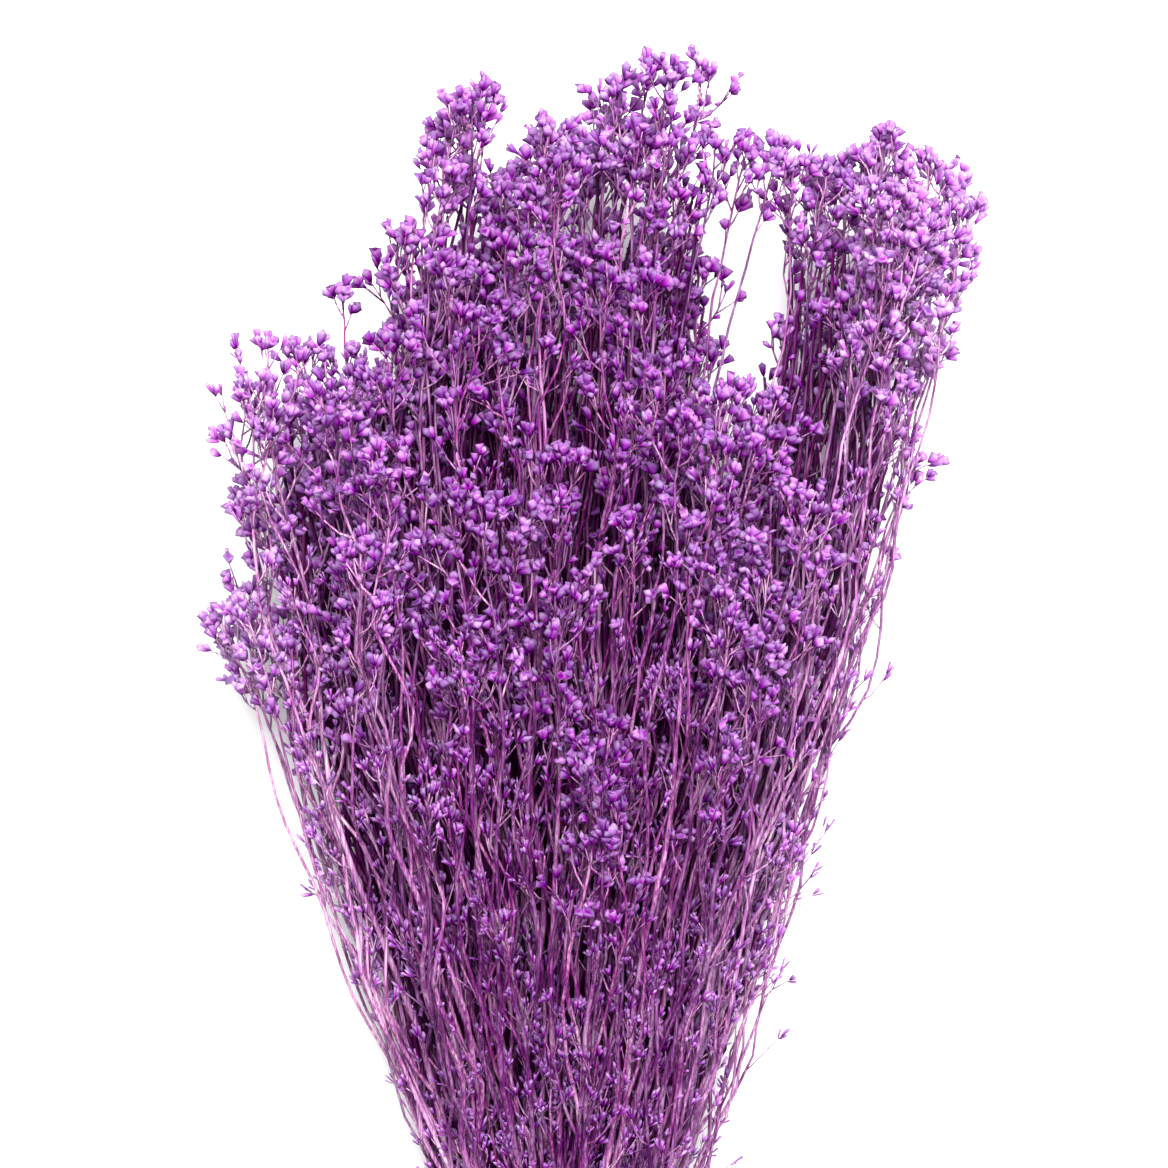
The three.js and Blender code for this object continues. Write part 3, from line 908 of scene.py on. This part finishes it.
def stem_material():
    """Long streaks from dark to pale, and undyed pith in the cut ends."""
    m = Nodes("dyed_stem")
    _, tone, fade_and_painted_shading, rim = m.tint()
    streaks = m.noise(1.0, (1500, 55, 1500), 4, 0.6)
    blotches = m.noise(60, detail=2)
    colour = m.ramp(m.stirred(streaks, blotches, 0.7), [
        (0.25, (0.045, 0.001, 0.05)), (0.45, (0.17, 0.024, 0.165)), (0.62, (0.34, 0.135, 0.315)),
        (0.85, (0.54, 0.37, 0.50)),
    ])
    # Its value follows the fade: the dye's paleness, with painted light at the sides and tips and
    # painted shade on the shoots behind.
    colour = m.shifted(
        colour,
        hue=m.line(tone, 0.06, 0.475),
        saturation=m.line(fade_and_painted_shading, -0.3, 1.08),
        value=m.math("MULTIPLY", m.line(tone, 0.95, 0.58), m.line(fade_and_painted_shading, 0.6, 0.69)),
    )
    pith = (0.50, 0.33, 0.34, 1)
    is_cut = m.ramp(rim, [(0.55, (1, 1, 1)), (0.8, (0, 0, 0))])
    m.set(m.shader, {
        "Base Color": m.mixed(is_cut, colour, pith),
        "Roughness": m.line(streaks, 0.3, 0.4),
        "Normal": m.bump(streaks, 0.0003, 0.8),
        "Specular IOR Level": 0.08,
    })
    return m.material


def twine_material():
    """Fibrous jute, each ply in its own tone."""
    m = Nodes("jute_twine")
    _, tone, _, _ = m.tint()
    fibres = m.noise(2200, detail=5, roughness=0.7)
    strewn = m.stirred(fibres, m.noise(260, detail=2), 0.6)
    colour = m.ramp(strewn, [
        (0.3, (0.20, 0.11, 0.045)), (0.5, (0.42, 0.26, 0.12)), (0.75, (0.66, 0.48, 0.28)),
    ])
    m.set(m.shader, {
        "Base Color": m.shifted(colour, value=m.line(tone, 0.25, 0.87)),
        "Roughness": m.line(fibres, 0.2, 0.75),
        "Normal": m.bump(strewn, 0.0003, 0.9),
        "Specular IOR Level": 0.2,
    })
    return m.material


# The sprays

GROWTH_SEED = 4217
PAINTED_LIGHT_SIDES = 0.85       # painted light: how much paler the colour is at the far sides, and so darker towards the middle
PAINTED_LIGHT_TIPS = 0.42        # and on the tallest shoots, also painted light
PAINTED_LIGHT_TIPS_FROM = (420, 510)  # heights of the tips over which it grows paler
SPRAY_FADE = 0.12           # the most that a spray is paler or darker as a whole
SHOOT_FADE = 0.1
BACK_POD_PAINTED_SHADE = 0.4            # painted shade: how much darker the pods behind are


def build_sprays():
    """One piece for each spray of the part's source."""
    sprays, taken = plan_sprays()
    add_thin_shoots(sprays, taken)
    add_placed_shoots(sprays)
    add_back_shoots(sprays)
    materials = [stem_material(), pod_material()]
    for i, shoots in enumerate(sprays):
        rng = np.random.default_rng([GROWTH_SEED, i])
        growth = Growth()
        strays = Strays(rng)
        spray_fade = rng.uniform(-SPRAY_FADE, SPRAY_FADE)
        for shoot in shoots:
            # Painted light: the colour is paler at the far sides and on the tallest tips, darker
            # towards the middle.
            painted_light = PAINTED_LIGHT_SIDES * shoot.place[0] ** 2
            painted_light += PAINTED_LIGHT_TIPS * smooth_step(shoot.tip, *PAINTED_LIGHT_TIPS_FROM)
            fade_and_painted_shading = np.clip(painted_light + spray_fade + rng.normal(0, SHOOT_FADE), 0, 1)
            grow_shoot(growth, shoot, strays, rng, fade_and_painted_shading - BACK_POD_PAINTED_SHADE * (shoot.kind == "back"))
        parts = [(*limbs_mesh(limbs, sides), 0) for (_, sides), limbs in growth.limbs.items()]
        parts.append((*pods_mesh(growth.pods, rng), 1))
        piece = make_piece(f"dyed_spray_{i + 1:02d}", parts, materials)
        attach(piece, "root")
        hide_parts(f"spray_{i + 1:02d}")


# The tie: a twine of two plies, wound round the stems and knotted

PLY_RADIUS = 0.53
PLY_OFFSET = 0.46
PLY_TWIST = 5.2             # length of one full twist
PLY_SIDES = 6
PLY_CAP = 0.3               # how far its ends are rounded out, in radii
WINDING_RADIUS = 11.95      # of the twine's middle
WINDING_STEP = 0.5          # between the rings of a ply
STEPS_A_TURN = 60
KNOT_ANGLE = 0.42           # over which the ends of the winding rise to the knot
KNOT_LIFT = 1.95
KNOT_SIZE = (0.8, 0.85, 0.75)
KNOT_STEPS = 90
KNOT_PLACE = (0, 0, WINDING_RADIUS + KNOT_LIFT)
FREE_END = ((0.5, 0.5, 0.3), (3, 2.4, 0.6), (5.5, 5.5, 0), (8, 9, -1.6), (9.5, 13, -2.2))
CURVE_STEPS = 12            # between two corners of a free end
NO_START = (0.3, 0.2, 0.93)     # a direction in which no path of the twine starts
TWINE_SEED = 52
FUZZ = dict(count=300, length=(0.7, 2.4), radius=0.035, off=0.7, stray=0.5)
FRAY = dict(count=7, length=(1.2, 2.6), radius=0.06, inside=0.3, spread=0.25, stray=0.3)
FIBRE = dict(points=4, sides=3, bend=0.25, taper=0.4)


def evenly(path, step):
    """Points at even steps along a path."""
    run = np.concatenate([[0], np.cumsum(np.linalg.norm(np.diff(path, axis=0), axis=1))])
    at = np.linspace(0, run[-1], int(run[-1] / step) + 2)
    return np.stack([np.interp(at, run, path[:, k]) for k in range(3)], 1)


def smooth_path(corners):
    """A smooth curve through some corners."""
    corners = np.array(corners, float)
    before = 2 * corners[0] - corners[1]
    after = 2 * corners[-1] - corners[-2]
    padded = np.vstack([before, corners, after])
    t = np.linspace(0, 1, CURVE_STEPS, endpoint=False)[:, None]
    parts = []
    for a, b, c, d in zip(padded, padded[1:], padded[2:], padded[3:]):
        cubic = 2 * a - 5 * b + 4 * c - d + t * (3 * (b - c) + d - a)
        parts.append(b + 0.5 * t * (c - a + t * cubic))
    return np.vstack([*parts, corners[-1:]])


def round_tie(path):
    """Turns a path that is made at the top of the tie to where the knot is."""
    x, y, z = path.T
    cos = math.cos(KNOT_TURN)
    sin = math.sin(KNOT_TURN)
    return np.stack([x * cos + z * sin, y, TIE_HEIGHT + z * cos - x * sin], 1)


def winding_path():
    """The turns round the stems. Both ends rise to the knot."""
    turns = TWINE_TURNS - 1
    angle = np.linspace(0, FULL_TURN * turns, STEPS_A_TURN * turns)
    settled = smooth_step(np.minimum(angle, angle[-1] - angle) / KNOT_ANGLE, 0, 1)
    along = TWINE_PITCH * (angle / FULL_TURN - turns / 2) * settled
    radius = WINDING_RADIUS + KNOT_LIFT * (1 - settled**3)
    return np.stack([radius * np.sin(angle), along, radius * np.cos(angle)], 1)


def knot_path():
    """A trefoil knot."""
    t = np.linspace(0, FULL_TURN, KNOT_STEPS)
    x = np.sin(t) + 2 * np.sin(2 * t)
    y = np.cos(t) - 2 * np.cos(2 * t)
    z = -np.sin(3 * t)
    return np.stack([x, y, z], 1) * KNOT_SIZE + KNOT_PLACE


def twine_paths():
    """The twine's middle lines: the winding, the knot and the two free ends."""
    ends = [smooth_path(FREE_END) * (side, 1, 1) + KNOT_PLACE for side in (-1, 1)]
    paths = (winding_path(), knot_path(), *ends)
    return [round_tie(evenly(path, WINDING_STEP)) for path in paths]


def frames_along(path):
    """The directions ahead, across and over at each point, without a twist."""
    ahead = unit(np.gradient(path, axis=0))
    across = np.empty_like(path)
    across[0] = unit(np.cross(ahead[0], NO_START))
    for k in range(1, len(path)):
        across[k] = unit(across[k - 1] - ahead[k] * (across[k - 1] @ ahead[k]))
    return ahead, across, np.cross(ahead, across)


def twisted_plies(path):
    """The middle lines of the two plies that wind round a path."""
    _, across, over = frames_along(path)
    turn = (FULL_TURN * WINDING_STEP / PLY_TWIST * np.arange(len(path)))[:, None]
    offset = PLY_OFFSET * (np.cos(turn) * across + np.sin(turn) * over)
    return path + offset, path - offset


def ply_mesh(path, tone):
    """A tube along one ply, as (vertices, faces, tint, material index)."""
    ahead, across, over = frames_along(path)
    angles = (FULL_TURN * np.arange(PLY_SIDES) / PLY_SIDES)[:, None]
    ring = across[:, None] * np.cos(angles) + over[:, None] * np.sin(angles)
    body = path[:, None] + PLY_RADIUS * ring
    cap = PLY_CAP * PLY_RADIUS * ahead
    start = path[:1] - cap[:1]
    end = path[-1:] + cap[-1:]
    tint = np.tile((0, tone, 0, 1.0), (len(path) * PLY_SIDES + 2, 1))
    return (*joined(start[None], body[None], end[None], tint), 0)


def loose_fibres(paths, rng):
    """The fuzz on the winding and the frayed free ends."""
    fibres = []
    winding = paths[0]
    ahead, _, _ = frames_along(winding)
    for k in rng.integers(0, len(winding), FUZZ["count"]):
        out = outwards(ahead[k], rng.uniform(0, FULL_TURN))
        lean = unit(out + rng.normal(0, FUZZ["stray"], 3))
        start = winding[k] + FUZZ["off"] * out
        fibres.append((start, lean, rng.uniform(*FUZZ["length"]), FUZZ["radius"]))
    for path in paths[2:]:
        way = unit(path[-1] - path[-3])
        for _ in range(FRAY["count"]):
            lean = unit(way + rng.normal(0, FRAY["stray"], 3))
            start = path[-1] - FRAY["inside"] * way + rng.normal(0, FRAY["spread"], 3)
            fibres.append((start, lean, rng.uniform(*FRAY["length"]), FRAY["radius"]))
    limbs = []
    t = np.linspace(0, 1, FIBRE["points"])[:, None]
    for start, lean, length, radius in fibres:
        bend = rng.normal(0, FIBRE["bend"], 3)
        points = start + length * (t * lean + t * t * bend)
        radii = np.linspace(radius, FIBRE["taper"] * radius, FIBRE["points"])
        limbs.append((points, radii, (rng.random(), 0, False)))
    return (*limbs_mesh(limbs, FIBRE["sides"]), 0)


def build_tie():
    """The twine with its fuzz and its frayed ends, as one piece."""
    rng = np.random.default_rng(TWINE_SEED)
    paths = twine_paths()
    plies = [ply for path in paths for ply in twisted_plies(path)]
    parts = [ply_mesh(ply, rng.random()) for ply in plies]
    parts.append(loose_fibres(paths, rng))
    piece = make_piece("twine_tie", parts, [twine_material()])
    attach(piece, "root")
    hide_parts("tie")


# The stage, in metres

SURFACE_SIZE = 14
SKY_STRENGTH = 0.56
KEY = dict(place=(0.2, 0.75, 1.75), target=(0, 0.05, 0), size=1.6, energy=108)
EYE = (8, 334.6, 1362)      # the camera, in the tie's frame: it looks straight down
LENS = 118.0
SENSOR = 36.0


def build_surface():
    mesh = bpy.data.meshes.new("surface")
    half = SURFACE_SIZE / 2
    corners = [(-half, -half, 0), (half, -half, 0), (half, half, 0), (-half, half, 0)]
    mesh.from_pydata(corners, [], [(0, 1, 2, 3)])
    surface = bpy.data.objects.new("surface", mesh)
    bpy.context.scene.collection.objects.link(surface)
    pale = Nodes("pale_surface")
    pale.set(pale.shader, {
        "Base Color": (0.93, 0.93, 0.93, 1), "Roughness": 0.9, "Specular IOR Level": 0.1,
        "Emission Color": (1, 1, 1, 1), "Emission Strength": 0.04,
    })
    mesh.materials.append(pale.material)


def build_light():
    world = bpy.data.worlds.new("soft")
    bpy.context.scene.world = world
    world.use_nodes = True
    sky = world.node_tree.nodes["Background"]
    sky.inputs["Color"].default_value = (1, 1, 1, 1)
    sky.inputs["Strength"].default_value = SKY_STRENGTH
    lamp = bpy.data.lights.new("key", "AREA")
    lamp.shape = "DISK"
    lamp.size = KEY["size"]
    lamp.energy = KEY["energy"]
    key = bpy.data.objects.new("key", lamp)
    bpy.context.scene.collection.objects.link(key)
    key.location = KEY["place"]
    way = Vector(KEY["target"]) - Vector(KEY["place"])
    key.rotation_euler = way.to_track_quat("-Z", "Y").to_euler()


def build_camera():
    camera = bpy.data.cameras.new("camera")
    camera.lens = LENS
    camera.sensor_width = SENSOR
    eye = bpy.data.objects.new("camera", camera)
    bpy.context.scene.collection.objects.link(eye)
    eye.location = Vector(np.array(EYE) * MM + TIE_PLACE)
    bpy.context.scene.camera = eye
    bpy.context.scene.view_settings.view_transform = "Standard"


build_sprays()
build_tie()
build_surface()
build_light()
build_camera()
